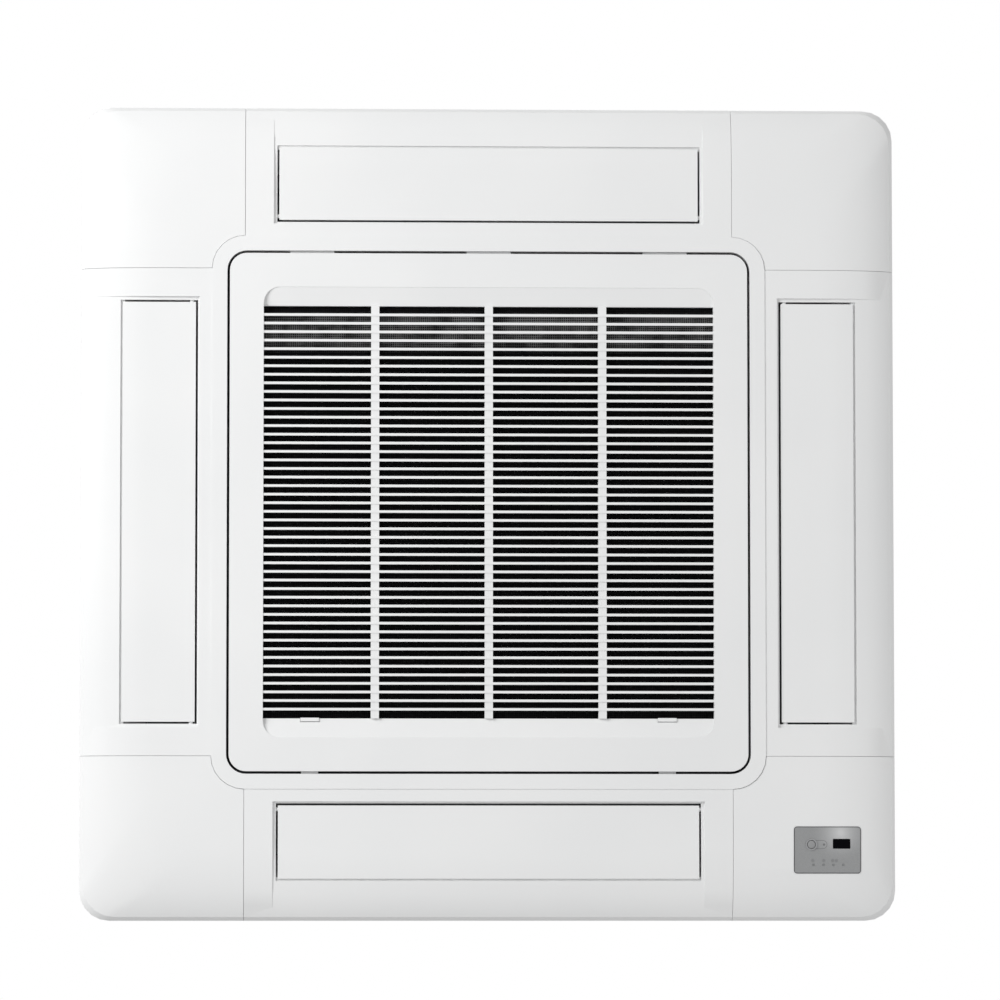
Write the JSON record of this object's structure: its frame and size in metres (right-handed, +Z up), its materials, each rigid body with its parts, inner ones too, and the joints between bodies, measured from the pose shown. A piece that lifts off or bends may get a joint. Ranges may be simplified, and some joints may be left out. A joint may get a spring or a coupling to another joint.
{
  "type": "ceiling cassette air conditioner",
  "caption": "Square four-way ceiling cassette with hinged slatted intake grille, swinging louvers, filter, fan, coil and drain pump in a sheet-steel body.",
  "frame": {"origin": "middle of the fascia in the plane of the finished ceiling", "axes": "+Z up out of the room, -Y towards the edge where the grille is hinged, +X towards the two pipe and display corners"},
  "size_m": [0.95, 0.95, 0.2875],
  "materials": {
    "white_plastic": "satin white",
    "zinc_steel": "zinc plated",
    "bracket_steel": "zinc coated sheet",
    "motor_can": "plated can",
    "dark_foam": "soft foam strip",
    "silver_plastic": "satin silver lacquer",
    "dark_window": "glossy black",
    "clear_plastic": "clear",
    "circuit_board": "green lacquer",
    "filter_plastic": "fine mesh",
    "galvanised_steel": "galvanised",
    "inner_plastic": "light grey",
    "brass": "machined",
    "white_foam": "moulded foam",
    "dark_plastic": "satin black",
    "coil_fins": "bare fins",
    "copper": "bare copper"
  },
  "bodies": {
    "cassette": {"panel_frame": "white_plastic", "corner_cover_back_right": "white_plastic", "corner_cover_back_left": "white_plastic", "corner_cover_front_left": "white_plastic", "corner_cover_front_right": "white_plastic", "panel_screw_back_right": "zinc_steel", "panel_screw_back_left": "zinc_steel", "panel_screw_front_left": "zinc_steel", "panel_screw_front_right": "zinc_steel", "hinge_pin_left": "zinc_steel", "hinge_pin_middle": "zinc_steel", "hinge_pin_right": "zinc_steel", "hanger_bracket_back_right": "bracket_steel", "hanger_bracket_back_left": "bracket_steel", "hanger_bracket_front_left": "bracket_steel", "hanger_bracket_front_right": "bracket_steel", "louver_motor_front": "motor_can", "louver_motor_right": "motor_can", "louver_motor_back": "motor_can", "louver_motor_left": "motor_can", "fan_motor": "motor_can", "panel_seal": "dark_foam", "display_plate": "silver_plastic", "display_window": "dark_window", "indicator_lens": "clear_plastic", "display_board": "circuit_board", "control_board": "circuit_board", "bell_mouth": "galvanised_steel", "motor_bracket": "galvanised_steel", "side_casing": "galvanised_steel", "top_plate": "galvanised_steel", "control_box": "galvanised_steel", "control_box_cover": "galvanised_steel", "coil_end_plate": "galvanised_steel", "coil_closing_plate": "galvanised_steel", "pipe_cover_plate": "galvanised_steel", "drain_pump": "inner_plastic", "drain_outlet": "inner_plastic", "gas_flare_nut": "brass", "liquid_flare_nut": "brass", "drain_pan": "white_foam", "foam_liner": "white_foam", "cable_gland": "dark_plastic", "terminal_block": "dark_plastic", "air_sensor": "dark_plastic", "coil": "coil_fins", "gas_pipe": "copper", "liquid_pipe": "copper"},
    "louver_front": {"louver_front": "white_plastic"},
    "louver_right": {"louver_right": "white_plastic"},
    "louver_back": {"louver_back": "white_plastic"},
    "louver_left": {"louver_left": "white_plastic"},
    "grille": {"intake_grille": "white_plastic", "air_filter": "filter_plastic"},
    "latch_left": {"grille_latch_left": "white_plastic"},
    "latch_right": {"grille_latch_right": "white_plastic"},
    "fan": {"turbo_fan": "inner_plastic", "fan_nut": "brass"},
    "button": {"run_button": "silver_plastic"},
    "float": {"drain_float": "dark_plastic"}
  },
  "joints": [
    {"name": "louver_front_hinge", "type": "hinge", "parent": "cassette", "child": "louver_front", "pos_m": [0, -0.346, -0.0285], "axis": [1, 0, 0], "range_deg": [0, 70]},
    {"name": "louver_right_hinge", "type": "hinge", "parent": "cassette", "child": "louver_right", "pos_m": [0.346, 0, -0.0285], "axis": [0, 1, 0], "range_deg": [0, 70]},
    {"name": "louver_back_hinge", "type": "hinge", "parent": "cassette", "child": "louver_back", "pos_m": [0, 0.346, -0.0285], "axis": [-1, 0, 0], "range_deg": [0, 70]},
    {"name": "louver_left_hinge", "type": "hinge", "parent": "cassette", "child": "louver_left", "pos_m": [-0.346, 0, -0.0285], "axis": [0, -1, 0], "range_deg": [0, 70]},
    {"name": "grille_hinge", "type": "hinge", "parent": "cassette", "child": "grille", "pos_m": [0, -0.2998, -0.0335], "axis": [-1, 0, 0], "range_deg": [0, 45]},
    {"name": "latch_left_slide", "type": "slide", "parent": "grille", "child": "latch_left", "axis": [0, -1, 0], "range_m": [0, 0.005], "stiffness_N_per_m": 200},
    {"name": "latch_right_slide", "type": "slide", "parent": "grille", "child": "latch_right", "axis": [0, -1, 0], "range_m": [0, 0.005], "stiffness_N_per_m": 200},
    {"name": "fan_spin", "type": "hinge", "parent": "cassette", "child": "fan", "pos_m": [0, 0, 0.12], "axis": [0, 0, 1], "continuous": true},
    {"name": "run_button_slide", "type": "slide", "parent": "cassette", "child": "button", "axis": [0, 0, 1], "range_m": [0, 0.0015], "stiffness_N_per_m": 400},
    {"name": "drain_float_slide", "type": "slide", "parent": "cassette", "child": "float", "axis": [0, 0, 1], "range_m": [0, 0.01]}
  ]
}
